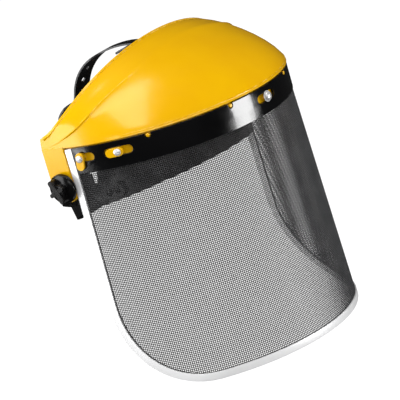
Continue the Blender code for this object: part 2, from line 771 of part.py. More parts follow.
def side_bracket():
    """Hairpin of flat plastic: the pivot plate outside, the riveted foot against the headband."""
    outer = PLATE_OUT - BRACKET_T / 2
    inner = HEAD_HALF_W + GAP + BRACKET_T / 2
    back = 13 * MM
    turn_r = 13 * MM
    plan = [(-outer, y * MM) for y in range(-22, 13, 2)]
    plan += [(-x, y) for x, y in arc((outer - turn_r, back), turn_r, 0, 90, 12)]
    plan += [(-x, y) for x, y in arc((inner + turn_r, back), turn_r, 90, 180, 12)]
    plan += [(-inner, y * MM) for y in range(12, -23, -2)]
    track = Track(plan[::-1])
    axis_y, axis_z = SHIELD_Y + PIVOT_Y, RIM_Z + PIVOT_Z
    pivot = track.s[-1] - (axis_y + 22 * MM)
    foot = track.s[0] + (-6 * MM + 22 * MM)
    plate = (arc((pivot, axis_z), 12.4 * MM, 0, 345, 15)
             + arc((track.s[-1] - 2.5 * MM, 23.5 * MM), 2.5 * MM, 0, 90, 3)
             + arc((track.s[-1] - 2.5 * MM, 15.5 * MM), 2.5 * MM, -90, 0, 3))
    web = arc((pivot, axis_z), 10 * MM, 0, 345, 15)
    low_end = [(foot + 5 * MM, -6 * MM), (foot - 5 * MM, -4 * MM)]
    middle = (0.0, -1 * MM)
    arm = prism("arm", hull(plate), -BRACKET_T / 2, BRACKET_T / 2)
    pieces = [hull(web + arc(middle, 8 * MM, 0, 330, 11)),
              hull(arc(middle, 8 * MM, 0, 330, 11) + arc(low_end[0], 8 * MM, 0, 330, 11)),
              hull(arc(low_end[0], 8 * MM, 0, 330, 11) + arc(low_end[1], 8 * MM, 0, 330, 11))]
    join(arm, *[prism("web", outline, -BRACKET_T / 2, BRACKET_T / 2) for outline in pieces])
    bend(arm, track, spacing=4.5 * MM, span=32 * MM)
    hole = disc("hole", BOLT_HOLE_R, 100 * MM, 140 * MM, 16)
    place(hole, pivot_frame())
    cut(arm, hole)
    for y in BRACKET_RIVETS:
        hole = disc("hole", RIVET_R + GAP, 60 * MM, 100 * MM, 14)
        cut(arm, place(hole, side_frame(y, BRACKET_RIVET_Z)))
    coat(arm, "side_bracket_right", BLACK)
    mirror_copy(arm, "side_bracket_left", BLACK)


def side_frame(y, z=0.0):
    """Frame on the wearer's right, local -Y outwards; y and z are in the headband's plane."""
    spot = TO_HEAD @ Vector((0, y, z))
    return Matrix.Translation((0, spot.y, spot.z)) @ Matrix.Rotation(-math.pi / 2, 4, "Z")


# ---- head harness ---------------------------------------------------------------------
def head_s(track, y):
    """Distance along a head track to where the band passes y, on the +s side."""
    after = [i for i in range(len(track.s)) if track.s[i] >= 0]
    ys = [track.points[i][1] for i in after]
    lengths = [track.s[i] for i in after]
    if ys[0] > ys[-1]:
        ys.reverse()
        lengths.reverse()
    return float(np.interp(y, ys, lengths))


def headband_front():
    end, shoulder = head_s(HEAD, BAND_END), head_s(HEAD, BAND_SHOULDER)
    half = BAND_H / 2
    right = ([(shoulder, half), (shoulder + 2.3 * MM, 8.5 * MM), (end - 0.5 * MM, 2 * MM)]
             + arc((end - 7 * MM, 7 * MM - half), 7 * MM, 0, -90, 4))
    band = prism("band", right + [(-s, z) for s, z in reversed(right)], -HEADBAND_T, 0)
    holes = [(0.0, 0.0, RIVET_R)]
    for side in (-1, 1):
        for y in BRACKET_RIVETS:
            holes.append((side * head_s(HEAD, y), BRACKET_RIVET_Z, RIVET_R))
        for i in range(STRAP_HOLES):
            s = head_s(HEAD, STRAP_PEG) - i * 10 * MM
            holes.append((side * s, STRAP_Z, HOLE_R - GAP))
    for s, z, radius in holes:
        hole = disc("hole", radius + GAP, -6 * MM, 6 * MM, 12)
        cut(band, place(hole, Matrix.Translation((s, 0, z))))
    bend(band, HEAD)
    place(band, TO_HEAD)
    coat(band, "headband_front", BLACK)


def sweatband():
    end = head_s(HEAD, -52 * MM)
    outer = -HEADBAND_T - GAP
    pad = prism("pad", rounded_box(-end, end, -SWEAT_H / 2, SWEAT_H / 2, 7 * MM, 3),
                outer - SWEAT_T, outer)
    bend(pad, HEAD)
    place(pad, TO_HEAD)
    coat(pad, "sweatband", FOAM)


def nape_strap():
    end = head_s(NAPE, STRAP_END)
    low, high = STRAP_Z - STRAP_H / 2, STRAP_Z + STRAP_H / 2
    outer = -HEADBAND_T - GAP
    strap = prism("strap", rounded_box(-end, end, low, high, 6 * MM, 4), outer - STRAP_T, outer)
    bend(strap, NAPE)
    for side in (-1, 1):
        point, out = NAPE.at(side * head_s(NAPE, STRAP_PEG))
        turn = math.atan2(out[0], -out[1])
        peg = disc("peg", HOLE_R - 2 * GAP, outer - STRAP_T / 2, -GAP, 12)
        spot = Matrix.Translation((point[0], point[1], STRAP_Z)) @ Matrix.Rotation(turn, 4, "Z")
        join(strap, place(peg, spot))
    for vert in strap.data.vertices:
        vert.co.z -= STRAP_SAG * max(0.0, vert.co.y - 20 * MM) ** 2
    place(strap, TO_HEAD)
    inner = CROWN_T / 2 + 2 * GAP
    begin, foot = nape_s(TAB_TOP), nape_s(TAB_FOOT)
    tab = prism("tab", rounded_box(begin, foot, -TAB_W / 2, TAB_W / 2, 9 * MM, 4),
                inner, inner + STRAP_T)
    cut(tab, place(disc("hole", RIVET_R + GAP, -8 * MM, 8 * MM, 14),
                   Matrix.Translation((nape_s(TAB_RIVET_Z), 0, 0))))
    lay_over_crown(tab)
    join(strap, tab)
    coat(strap, "nape_strap", BLACK)


CROWN_TO_WORLD = Matrix(((0, 0, 1, 0), (-1, 0, 0, 0), (0, 1, 0, 0), (0, 0, 0, 1)))


def crown_s(y):
    """Distance along the crown strap to where it passes over y."""
    top = [i for i in range(len(CROWN.s)) if CROWN.points[i][1] > 70 * MM]
    return float(np.interp(y, [-CROWN.points[i][0] for i in top], [CROWN.s[i] for i in top]))


def nape_s(z):
    """Distance along the crown strap to where it comes down past z at the back."""
    rear = [i for i in range(len(CROWN.s)) if CROWN.points[i][0] < -60 * MM][::-1]
    return float(np.interp(z, [CROWN.points[i][1] for i in rear], [CROWN.s[i] for i in rear]))


def crown_frame(s):
    """Frame on the crown strap, local -Y outwards."""
    point, normal = CROWN.at(s)
    turn = math.atan2(normal[0], -normal[1])
    spot = Matrix.Translation((point[0], point[1], 0))
    return CROWN_TO_WORLD @ spot @ Matrix.Rotation(turn, 4, "Z")


def lay_over_crown(obj):
    """Bend a flat strip along the crown strap's line."""
    bend(obj, CROWN, spacing=5.5 * MM)
    place(obj, CROWN_TO_WORLD)


def strip_outline(begin, end, neck, wide_end):
    """Strap outline with round ends; wide_end tells on which side of neck it is full width."""
    steps = 22
    top = []
    for i in range(steps + 1):
        s = begin + (end - begin) * (1 - math.cos(math.pi * i / steps)) / 2
        wide = smooth_step(wide_end * (s - neck) / (20 * MM) + 0.5)
        width = CROWN_NECK_W + (CROWN_W - CROWN_NECK_W) * wide
        cap = min(1.0, (min(s - begin, end - s) + 0.3 * MM) / (5 * MM))
        top.append((s, width / 2 * math.sqrt(1 - (1 - cap) ** 2)))
    return top + [(s, -half) for s, half in reversed(top)]


def crown_plate(name, outline, holes):
    plate = prism(name, outline, -CROWN_T / 2, CROWN_T / 2)
    for s, radius in holes:
        hole = disc("hole", radius, -CROWN_T, CROWN_T, 12)
        cut(plate, place(hole, Matrix.Translation((s, 0, 0))))
    return plate


def crown_straps():
    peg = crown_s(CROWN_PEG_Y)
    first = crown_s(59 * MM)
    end = nape_s(CROWN_FOOT)
    holes = [(first - i * HOLE_PITCH, HOLE_R) for i in range(3)]
    holes += [(peg, HOLE_R), (nape_s(TAB_RIVET_Z), RIVET_R + GAP)]
    neck = first - 3 * HOLE_PITCH
    rear = crown_plate("rear", strip_outline(crown_s(CROWN_REAR_END), end, neck, 1), holes)
    lay_over_crown(rear)
    coat(rear, "crown_strap_rear", BLACK)

    tail = crown_s(CROWN_FRONT_END)
    begin = CROWN.s[0]
    edge = crown_s(CROWN_REAR_END)
    holes = [(peg, HOLE_R), (begin + FOOT_RIVET, RIVET_R + GAP), (tail - 5 * MM, HOLE_R - 0.6 * MM)]
    front = crown_plate("front", strip_outline(begin, tail, edge - 25 * MM, -1), holes)
    slice_columns(front, 8 * MM)
    for vert in front.data.vertices:
        way = (vert.co.x - (edge - 24 * MM)) / (16 * MM)
        vert.co.y += (CROWN_T + GAP) * smooth_step(way)
        vert.co.y += FRONT_SAG * max(0.0, vert.co.x - peg - 6 * MM) ** 2
    lay_over_crown(front)
    coat(front, "crown_strap_front", BLACK)

    outer = CROWN_T / 2 + GAP
    inner = -CROWN_T * 1.5 - GAP * 2
    button = turned("button", [(0, outer + 1.3 * MM), (3.0 * MM, outer + 1.0 * MM),
                               (4.2 * MM, outer), (HOLE_R - GAP, outer), (HOLE_R - GAP, inner),
                               (HOLE_R + 0.6 * MM, inner), (HOLE_R - 0.9 * MM, inner - 1.6 * MM),
                               (0, inner - 1.6 * MM)], 16)
    place(button, crown_frame(peg))
    coat(button, "crown_peg", BLACK)


def smooth_step(x):
    x = min(max(x, 0.0), 1.0)
    return x * x * (3 - 2 * x)


def rivet(name, frame, inner, outer, head=4.0 * MM):
    """Domed rivet along local -Y; the shank ends flush at inner."""
    body = turned("rivet", [(0, outer + 1.5 * MM), (head * 0.6, outer + 1.2 * MM), (head, outer),
                            (RIVET_R, outer), (RIVET_R, inner), (0, inner)], 14)
    place(body, frame)
    coat(body, name, BLACK)
    return body


def harness_rivets():
    rivet("crown_rivet_front", crown_frame(CROWN.s[0] + FOOT_RIVET),
          -CROWN_T / 2 - GAP - HEADBAND_T, CROWN_T / 2 + GAP)
    rivet("crown_rivet_rear", crown_frame(nape_s(TAB_RIVET_Z)), -CROWN_T / 2,
          CROWN_T / 2 + GAP * 3 + STRAP_T)
    for i, y in enumerate(BRACKET_RIVETS):
        point, out = HEAD.at(head_s(HEAD, y))
        face = HEAD_HALF_W + GAP * 2 + BRACKET_T
        body = rivet(f"bracket_rivet_right_{i + 1}", side_frame(y, BRACKET_RIVET_Z),
                     point[0] - HEADBAND_T, face)
        mirror_copy(body, f"bracket_rivet_left_{i + 1}", BLACK)


def hang_shield():
    """Everything that tilts takes its origin on the tilt axis."""
    for obj in PARTS.objects:
        if obj.name.startswith(SHIELD_NAMES) and obj.location.length == 0:
            set_origin(obj, (0, SHIELD_Y + PIVOT_Y, RIM_Z + PIVOT_Z))


HEAD = head_track()
NAPE = head_track(rear=True)
TRACK = visor_track()
CROWN = crown_track()


def main():
    start()
    visor_mesh()
    visor_edge_binding()
    visor_top_band()
    browguard()
    toggle("toggle_right_front", -TOGGLE_FRONT_S, 0.0)
    toggle("toggle_right_rear", -TOGGLE_REAR_S, -TOGGLE_LOCKED)
    toggle("toggle_left_front", TOGGLE_FRONT_S, math.pi)
    toggle("toggle_left_rear", TOGGLE_REAR_S, TOGGLE_LOCKED - math.pi)
    toggle_screw("toggle_screw_right_front", -TOGGLE_FRONT_S, math.radians(20))
    toggle_screw("toggle_screw_right_rear", -TOGGLE_REAR_S, math.radians(50))
    toggle_screw("toggle_screw_left_front", TOGGLE_FRONT_S, math.radians(-30))
    toggle_screw("toggle_screw_left_rear", TOGGLE_REAR_S, math.radians(75))
    centre_stud()
    binding_rivet()
    pivot_knob()
    pivot_bolt()
    ring("outer_washer", BOLT_R + GAP, 9.0 * MM, VISOR_R + LUG_OUT + GAP, KNOB_IN - GAP, FIBRE)
    ring("inner_washer", BOLT_R + GAP, 8.5 * MM, PLATE_OUT + GAP, VISOR_R - 4.0 * MM - GAP, FIBRE)
    side_bracket()
    headband_front()
    sweatband()
    nape_strap()
    crown_straps()
    harness_rivets()
    hang_shield()


main()
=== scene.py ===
"""Face shield on a pale floor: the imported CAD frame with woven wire, a padded sweatband,
procedural materials, soft studio light and a camera ahead of the wearer's right."""
import math

import bmesh
import bpy
import numpy as np
from mathutils import Matrix, Vector


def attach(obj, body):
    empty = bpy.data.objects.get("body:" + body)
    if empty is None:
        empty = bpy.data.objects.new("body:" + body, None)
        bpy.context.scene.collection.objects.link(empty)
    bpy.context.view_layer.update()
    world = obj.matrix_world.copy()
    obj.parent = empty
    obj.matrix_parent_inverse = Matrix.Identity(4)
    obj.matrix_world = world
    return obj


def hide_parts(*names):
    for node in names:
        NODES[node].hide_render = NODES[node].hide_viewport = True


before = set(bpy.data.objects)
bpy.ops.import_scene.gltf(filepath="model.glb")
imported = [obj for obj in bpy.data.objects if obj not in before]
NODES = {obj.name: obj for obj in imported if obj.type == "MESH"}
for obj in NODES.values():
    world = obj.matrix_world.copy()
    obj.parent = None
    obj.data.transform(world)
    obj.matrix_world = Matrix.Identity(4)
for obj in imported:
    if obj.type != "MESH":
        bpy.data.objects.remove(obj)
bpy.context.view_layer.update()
MM = 0.001

# ---- the bent sheet of the visor, as the CAD has it ------------------------------------
SHIELD_Y = -7 * MM
RIM_Z = 54 * MM
VISOR_R = 128 * MM
VISOR_H = 230 * MM
VISOR_FLARE = 0.046
BAND_BOTTOM = -24.8 * MM
CORNER_R = 82 * MM
SHEET_TOP = -2.7 * MM
SHEET_INSET = 1.3 * MM
HALF_ARC = VISOR_R * math.pi / 2

# ---- openings of the sheet behind the top band, the same on both sides -----------------
SLOTS = ((0.0, 13.2 * MM), (150.5 * MM, 13.2 * MM), (181.9 * MM, 9.1 * MM))   # centre, half length
SLOT_LOW, SLOT_HIGH = -14.9 * MM, -6.7 * MM
NOTCHES = (44 * MM, 122 * MM)
NOTCH_HALF = 2.8 * MM
NOTCH_BOTTOM = -8.5 * MM

# ---- woven wire --------------------------------------------------------------------------
PITCH = 1.7 * MM
WIRE_R = 0.375 * MM
WAVE = 0.27 * MM              # how far a wire swings out of the cloth's middle
FIRST_WIRE = 0.4 * MM         # top level wire, under the sheet's top edge
WIRE_SECTION = ((-1.0, -0.4), (1.0, -0.4), (0.0, 0.85))   # (sideways, outwards), in wire radii


def add_object(name, data):
    obj = bpy.data.objects.new(name, data)
    bpy.context.scene.collection.objects.link(obj)
    return obj


def bake(obj):
    """Apply every modifier."""
    depsgraph = bpy.context.evaluated_depsgraph_get()
    mesh = bpy.data.meshes.new_from_object(obj.evaluated_get(depsgraph))
    obj.modifiers.clear()
    obj.data = mesh


# ---- materials ---------------------------------------------------------------------------
EDGE_STARTS, EDGE_FULL = 0.996, 0.95   # cosine between the rounded and the plain normal
BEVEL_SAMPLES = 4
DRIFT_SCALE = 16              # noise scales, in features a metre: slow drift of the colour
DENT_SCALE = 45               # unevenness of a moulded face
CLOUD_SCALE = 60              # cloudy gloss
EDGE_PATCH_SCALE = 180             # patches on edges: scuffs, and on the yellow plastic also painted highlight
WEAVE_PITCH = 1.7 * MM        # moulded weave of the top band
WEAVE_STARTS, WEAVE_FULL = -13 * MM, -16 * MM   # it fades in below the slots, from the rim


class Look:
    """A Principled material and the few node chains that the pieces share."""

    def __init__(self, name, base, rough, metal=0.0, **sockets):
        self.mat = bpy.data.materials.new(name)
        self.mat.use_nodes = True
        self.tree = self.mat.node_tree
        self.shader = self.tree.nodes["Principled BSDF"]
        self.set("Base Color", (*base, 1.0))
        self.set("Roughness", rough)
        self.set("Metallic", metal)
        for key, value in sockets.items():
            self.set(key.replace("_", " "), value)
        self.place = self.tree.nodes.new("ShaderNodeTexCoord").outputs["Object"]
        self.normal = None

    def set(self, socket, value):
        self.shader.inputs[socket].default_value = value

    def link(self, out, into):
        self.tree.links.new(out, into)

    def add(self, kind, **settings):
        node = self.tree.nodes.new("ShaderNode" + kind)
        for key, value in settings.items():
            setattr(node, key, value)
        return node

    def noise(self, scale, detail, stretch=None, rough=0.55):
        node = self.add("TexNoise")
        node.inputs["Scale"].default_value = scale
        node.inputs["Detail"].default_value = detail
        node.inputs["Roughness"].default_value = rough
        self.link(self.stretched(stretch) if stretch else self.place, node.inputs["Vector"])
        return node.outputs["Fac"]

    def stretched(self, stretch):
        node = self.add("Mapping")
        node.inputs["Scale"].default_value = stretch
        self.link(self.place, node.inputs["Vector"])
        return node.outputs["Vector"]

    def band(self, fac, low, high, to_low=0.0, to_high=1.0):
        """fac from low to high, spread from to_low to to_high and held there outside."""
        node = self.add("MapRange")
        for key, value in (("From Min", low), ("From Max", high),
                           ("To Min", to_low), ("To Max", to_high)):
            node.inputs[key].default_value = value
        self.link(fac, node.inputs["Value"])
        return node.outputs["Result"]

    def math(self, operation, a, b=None):
        node = self.add("Math", operation=operation)
        for socket, value in zip(node.inputs, (a, b)):
            if value is None:
                continue
            if isinstance(value, float):
                socket.default_value = value
            else:
                self.link(value, socket)
        return node.outputs["Value"]

    def tint(self, fac, first, second):
        """Base colour from first to second as fac goes from 0 to 1."""
        node = self.add("MixRGB")
        self.link(fac, node.inputs["Fac"])
        for socket, value in (("Color1", first), ("Color2", second)):
            if isinstance(value, tuple):
                node.inputs[socket].default_value = (*value, 1.0)
            else:
                self.link(value, node.inputs[socket])
        self.link(node.outputs["Color"], self.shader.inputs["Base Color"])
        return node.outputs["Color"]

    def gloss(self, fac, low, high):
        """Roughness between low and high as fac varies round its middle."""
        self.link(self.band(fac, 0.3, 0.7, low, high), self.shader.inputs["Roughness"])

    def bevelled(self, radius):
        """Normal of the surface with its edges rounded."""
        node = self.add("Bevel", samples=BEVEL_SAMPLES)
        node.inputs["Radius"].default_value = radius
        return node.outputs["Normal"]

    def round_edges(self, radius):
        self.normal = self.bevelled(radius)

    def edges(self, radius):
        """1 on edges and creases, 0 on flats."""
        rounded = self.bevelled(radius)
        geometry = self.add("NewGeometry")
        dot = self.add("VectorMath", operation="DOT_PRODUCT")
        self.link(rounded, dot.inputs[0])
        self.link(geometry.outputs["Normal"], dot.inputs[1])
        return self.band(dot.outputs["Value"], EDGE_STARTS, EDGE_FULL)

    def bump(self, height, strength, distance):
        """Adds a height to the surface, on top of what is there."""
        node = self.add("Bump")
        node.inputs["Strength"].default_value = strength
        node.inputs["Distance"].default_value = distance
        self.link(height, node.inputs["Height"])
        if self.normal:
            self.link(self.normal, node.inputs["Normal"])
        self.normal = node.outputs["Normal"]
        self.link(self.normal, self.shader.inputs["Normal"])


def moulded(name, base, shade, rough, grain=0.25, grain_scale=900, edge_radius=0.5 * MM,
            wear_and_highlight=None, **sockets):
    """Moulded plastic: slow colour drift, cloudy gloss, fine grain, soft edges, and edges lightened
    in patches, which is scuffing and, on the yellow plastic, also a painted highlight.
    """
    look = Look(name, base, rough[0], **sockets)
    colour = look.tint(look.band(look.noise(DRIFT_SCALE, 4), 0.35, 0.65), base, shade)
    if wear_and_highlight:
        # Patches of the lighter edge colour: scuffs, and on the yellow plastic a painted highlight
        # along ridges and creases.
        scuffs_and_highlight = look.math("MULTIPLY", look.edges(edge_radius * 1.6),
                           look.band(look.noise(EDGE_PATCH_SCALE, 5), 0.45, 0.7))
        look.tint(scuffs_and_highlight, colour, wear_and_highlight)
    look.gloss(look.noise(CLOUD_SCALE, 5, rough=0.65), *rough)
    look.round_edges(edge_radius)
    look.bump(look.noise(grain_scale, 2), grain, 0.03 * MM)
    look.bump(look.noise(DENT_SCALE, 2), 0.12, 0.25 * MM)
    return look


def yellow_plastic(name):
    # The pale edge colour here is partly a painted highlight on ridges and creases, partly scuffs.
    return moulded(name, (0.69, 0.375, 0.0), (0.66, 0.345, 0.0), (0.16, 0.24), grain=0.06,
                   wear_and_highlight=(0.98, 0.74, 0.20), Coat_Weight=0.1, Coat_Roughness=0.1,
                   Specular_Tint=(1.0, 0.88, 0.55, 1.0)).mat


def band_plastic():
    """Glossy black with a fine moulded weave below the band's slots."""
    look = moulded("band_plastic", (0.0015, 0.0015, 0.0017), (0.003, 0.003, 0.0033), (0.1, 0.16),
                   grain=0.1, wear_and_highlight=(0.03, 0.03, 0.032), Coat_Weight=0.3, Coat_Roughness=0.05)
    split = look.add("SeparateXYZ")
    look.link(look.place, split.inputs["Vector"])
    x, y, z = split.outputs
    wave = 2 * math.pi / WEAVE_PITCH
    angle = look.math("ARCTAN2", x, look.math("SUBTRACT", SHIELD_Y, y))
    along = look.math("MULTIPLY", angle, VISOR_R * wave)
    level = look.math("MULTIPLY", z, wave)
    weave = look.math("MULTIPLY", look.math("SINE", along), look.math("SINE", level))
    low = look.band(z, RIM_Z + WEAVE_STARTS, RIM_Z + WEAVE_FULL)
    look.bump(look.math("MULTIPLY", weave, low), 0.22, 0.08 * MM)
    return look.mat


def brushed(name, base, shade, rough, stretch, metal):
    """Metal with fine lines along the direction where stretch is small."""
    look = Look(name, base, rough[0], metal)
    lines = look.noise(1.0, 6, stretch, 0.7)
    look.tint(look.band(look.noise(24, 4), 0.35, 0.7), base, shade)
    look.gloss(lines, *rough)
    look.round_edges(0.25 * MM)
    look.bump(lines, 0.25, 0.03 * MM)
    return look.mat


def aluminium():
    return brushed("binding_aluminium", (0.90, 0.90, 0.905), (0.82, 0.82, 0.825), (0.3, 0.42),
                   (900, 900, 160), 0.25)


def wire_metal():
    look = Look("wire_metal", (0.06, 0.06, 0.062), 0.4, 0.6)
    look.tint(look.band(look.noise(55, 4), 0.35, 0.7), (0.07, 0.07, 0.072), (0.04, 0.04, 0.042))
    look.gloss(look.noise(320, 3), 0.3, 0.5)
    return look.mat


def zinc():
    return brushed("zinc_steel", (0.86, 0.86, 0.87), (0.7, 0.7, 0.7), (0.2, 0.34),
                   (2500, 2500, 2500), 0.6)


def harness_plastic(name, base=0.004, rough=(0.22, 0.34), shine=0.5):
    """Dull black; base is its brightness and shine its mirror strength."""
    shade = base * 1.7
    return moulded(name, (base, base, base * 1.05), (shade, shade, shade), rough, grain=0.3,
                   grain_scale=700, wear_and_highlight=(0.03, 0.03, 0.031), Specular_IOR_Level=shine).mat


def washer_fibre():
    return moulded("washer_fibre", (0.02, 0.018, 0.016), (0.04, 0.036, 0.032), (0.7, 0.9),
                   grain=0.8, grain_scale=500).mat


def towelling():
    """Looped cotton cover of the sweatband."""
    look = Look("towelling", (0.02, 0.02, 0.022), 0.9, Sheen_Weight=0.45, Sheen_Roughness=0.5)
    look.set("Sheen Tint", (0.4, 0.4, 0.42, 1.0))
    cells = look.add("TexVoronoi")
    cells.inputs["Scale"].default_value = 900
    look.link(look.place, cells.inputs["Vector"])
    loops = cells.outputs["Distance"]
    # Lighter on the loops and darker in the gaps between them: painted shade in the gaps.
    look.tint(look.band(loops, 0.1, 0.7), (0.035, 0.035, 0.038), (0.008, 0.008, 0.009))
    look.gloss(look.noise(200, 4), 0.8, 1.0)
    look.bump(loops, 0.7, 0.35 * MM)
    look.bump(look.noise(120, 4), 0.4, 0.6 * MM)
    return look.mat


def thread():
    look = Look("thread", (0.03, 0.03, 0.03), 0.7, Sheen_Weight=0.2)
    look.tint(look.noise(1500, 2), (0.16, 0.16, 0.165), (0.07, 0.07, 0.072))
    look.gloss(look.noise(900, 2), 0.55, 0.85)
    return look.mat


# ---- CAD solids ----------------------------------------------------------------------------
CREASE_ANGLE = math.radians(32)
JOIN_WITHIN = 0.001 * MM


def smooth_cad():
    """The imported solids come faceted: join their corners and shade what is nearly flat as one."""
    for obj in NODES.values():
        normals = obj.data.attributes.get("custom_normal")
        if normals:
            obj.data.attributes.remove(normals)
        obj.data.shade_smooth()
        obj.modifiers.new("join", "WELD").merge_threshold = JOIN_WITHIN
        split = obj.modifiers.new("creases", "EDGE_SPLIT")
        split.split_angle = CREASE_ANGLE


def dress(looks):
    """Gives each CAD node the first look whose prefix its name starts with."""
    for name, obj in NODES.items():
        for prefix, mat in looks:
            if name.startswith(prefix):
                for slot in obj.material_slots:
                    slot.material = mat
                break
        else:
            raise ValueError("no look for " + name)


# ---- woven wire ---------------------------------------------------------------------------
def on_sheet(s, z, out):
    """World points of the bent sheet at (s along it, z from the rim), out from its middle."""
    a = s / VISOR_R
    below = np.maximum(0.0, BAND_BOTTOM - z) / (VISOR_H + BAND_BOTTOM)
    r = VISOR_R * (1 + VISOR_FLARE * below) + out
    return np.stack([r * np.sin(a), SHIELD_Y - r * np.cos(a), RIM_Z + z], axis=-1)


def inside_sheet(s, z):
    """True where the cut sheet has wire."""
    half = HALF_ARC - SHEET_INSET
    low = SHEET_INSET - VISOR_H
    radius = CORNER_R - SHEET_INSET
    past = np.maximum(0.0, np.abs(s) - (half - radius))
    under = np.maximum(0.0, low + radius - z)
    ok = (np.abs(s) <= half) & (z <= SHEET_TOP) & (np.hypot(past, under) <= radius) & (z >= low)
    for centre, reach in SLOTS:
        ok &= ~((np.abs(np.abs(s) - centre) < reach) & (z > SLOT_LOW) & (z < SLOT_HIGH))
    for centre in NOTCHES:
        ok &= ~((np.abs(np.abs(s) - centre) < NOTCH_HALF) & (z > NOTCH_BOTTOM))
    return ok


def runs(mask):
    """(first, last) of each unbroken stretch of True longer than one."""
    edges = np.flatnonzero(np.diff(np.concatenate([[0], mask.astype(int), [0]])))
    return [(a, b) for a, b in zip(edges[::2], edges[1::2]) if b - a > 1]


def wire_cloth(name, upright):
    """One family of wires, each swinging over and under the other family's."""
    half = HALF_ARC - SHEET_INSET
    count_s = int(half * 2 / PITCH)
    count_z = int((VISOR_H - SHEET_INSET + SHEET_TOP) / PITCH)
    grid_s = (np.arange(count_s + 1) - count_s / 2) * PITCH
    grid_z = SHEET_TOP - FIRST_WIRE - np.arange(count_z + 1) * PITCH
    steps = grid_z if upright else grid_s
    section = np.array(WIRE_SECTION) * WIRE_R
    verts, faces = [], []
    total = 0
    for i, fixed in enumerate(grid_s if upright else grid_z):
        s = np.full(len(steps), fixed) if upright else steps
        z = steps if upright else np.full(len(steps), fixed)
        swing = WAVE * np.where((np.arange(len(steps)) + i) % 2, 1.0, -1.0)
        if not upright:
            swing = -swing
        for a, b in runs(inside_sheet(s, z)):
            ring = [on_sheet(s[a:b] + (side if upright else 0.0),
                             z[a:b] + (0.0 if upright else side),
                             swing[a:b] + height) for side, height in section]
            verts.append(np.stack(ring, axis=1).reshape(-1, 3))
            corners = len(section)
            first = total + corners * np.arange(b - a - 1)
            for k in range(corners):
                n = (k + 1) % corners
                quad = [first + k, first + n, first + n + corners, first + k + corners]
                if not upright:
                    quad.reverse()
                faces.append(np.stack(quad, axis=1))
            total += corners * (b - a)
    mesh = bpy.data.meshes.new(name)
    mesh.from_pydata(np.concatenate(verts).tolist(), [], np.concatenate(faces).tolist())
    mesh.shade_smooth()
    return add_object(name, mesh)


def woven_visor(mat):
    """The two families of wires in place of the CAD's plain sheet."""
    for name, upright in (("visor_wires_upright", True), ("visor_wires_level", False)):
        cloth = wire_cloth(name, upright)
        cloth.data.materials.append(mat)
        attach(cloth, "shield")
        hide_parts("visor_mesh")


# ---- sweatband ----------------------------------------------------------------------------
PAD_VOXEL = 1.5 * MM
PAD_PRESSURE = 4.0
PAD_FRAMES = 20
PAD_CAP = 1.6 * MM            # the most that the pad may swell
HEAD_TILT = math.radians(12)
THREAD_R = 0.3 * MM
STITCH_ROW = 12 * MM          # above and below the pad's middle
STITCH_ANGLE = math.radians(49)
STITCHES = 20                 # on each side of the middle
STITCH_SPOTS = ((-0.3, -THREAD_R), (0.0, THREAD_R * 0.7), (0.3, -THREAD_R))   # (along, lift)


def padded_sweatband(cover):
    """The CAD's foam band, puffed up by a cloth simulation."""
    pad = add_object("sweatband_pad", NODES["sweatband"].data.copy())
    pad.data.materials.clear()
    remesh = pad.modifiers.new("remesh", "REMESH")
    remesh.mode = "VOXEL"
    remesh.voxel_size = PAD_VOXEL
    bake(pad)
    start = np.array([v.co for v in pad.data.vertices])
    cloth = pad.modifiers.new("cloth", "CLOTH")
    cloth.settings.quality = 5
    cloth.settings.use_pressure = True
    cloth.settings.uniform_pressure_force = PAD_PRESSURE
    cloth.settings.effector_weights.gravity = 0.0
    scene = bpy.context.scene
    for number in range(1, PAD_FRAMES + 1):
        scene.frame_set(number)
    bake(pad)
    scene.frame_set(1)
    limit_pad(pad, start)
    smooth = pad.modifiers.new("smooth", "SUBSURF")
    smooth.levels = smooth.render_levels = 1
    bake(pad)
    pad.data.shade_smooth()
    pad.data.materials.append(cover)
    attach(pad, "headgear")
    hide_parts("sweatband")
    return pad


def stitching(pad, mat):
    """Two rows of running stitch on the side of the pad that faces the head."""
    tilt = Matrix.Rotation(-HEAD_TILT, 3, "X")
    curve = bpy.data.curves.new("stitches", "CURVE")
    curve.dimensions = "3D"
    curve.bevel_depth = THREAD_R
    curve.bevel_resolution = 2
    for height in (-STITCH_ROW, STITCH_ROW):
        for i in range(-STITCHES, STITCHES + 1):
            spots = []
            for step, lift in STITCH_SPOTS:
                a = STITCH_ANGLE * (i + step) / STITCHES
                origin = tilt @ Vector((0, 0, height))
                way = tilt @ Vector((math.sin(a), -math.cos(a), 0))
                hit, spot, _, _ = pad.ray_cast(origin, way)
                if hit:
                    spots.append(spot - way * lift)
            if len(spots) == len(STITCH_SPOTS):
                line = curve.splines.new("POLY")
                line.points.add(len(spots) - 1)
                for point, spot in zip(line.points, spots):
                    point.co = (*spot, 1)
    guide = add_object("sweatband_stitches", curve)
    thread_mesh = bpy.data.meshes.new_from_object(guide)
    bpy.data.objects.remove(guide)
    obj = add_object("sweatband_stitches", thread_mesh)
    obj.data.shade_smooth()
    obj.data.materials.clear()
    obj.data.materials.append(mat)
    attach(obj, "headgear")


def limit_pad(pad, start):
    """Keeps the swollen pad off the headband and within PAD_CAP of where it started."""
    for vert, home in zip(pad.data.vertices, start):
        home = Vector(home)
        away = vert.co - home
        outward = Vector((home.x, home.y, 0)).normalized()
        away -= outward * max(0.0, away.dot(outward))
        if away.length > PAD_CAP:
            away *= PAD_CAP / away.length
        vert.co = home + away


# ---- stage --------------------------------------------------------------------------------
FLOOR_HALF = 15.0             # half its side
FLOOR_Z = -0.34
FLOOR_GLOW = 0.95
BACKDROP_STRENGTH = 1.0       # the world as the camera sees it
FILL_STRENGTH = 0.36          # as a light on matt faces
GLOSS_STRENGTH = 0.02         # and in reflections
FACE_Y = -0.05
DOME = (-0.05, -0.06, 0.09)   # what most lights point at: the browguard's near side
BAND = (0, -0.1, 0)           # and the front of the headband
TOP_STRIP = (-0.86, -0.38, 1.69)
TOP_STRIP_SPIN = math.radians(28)


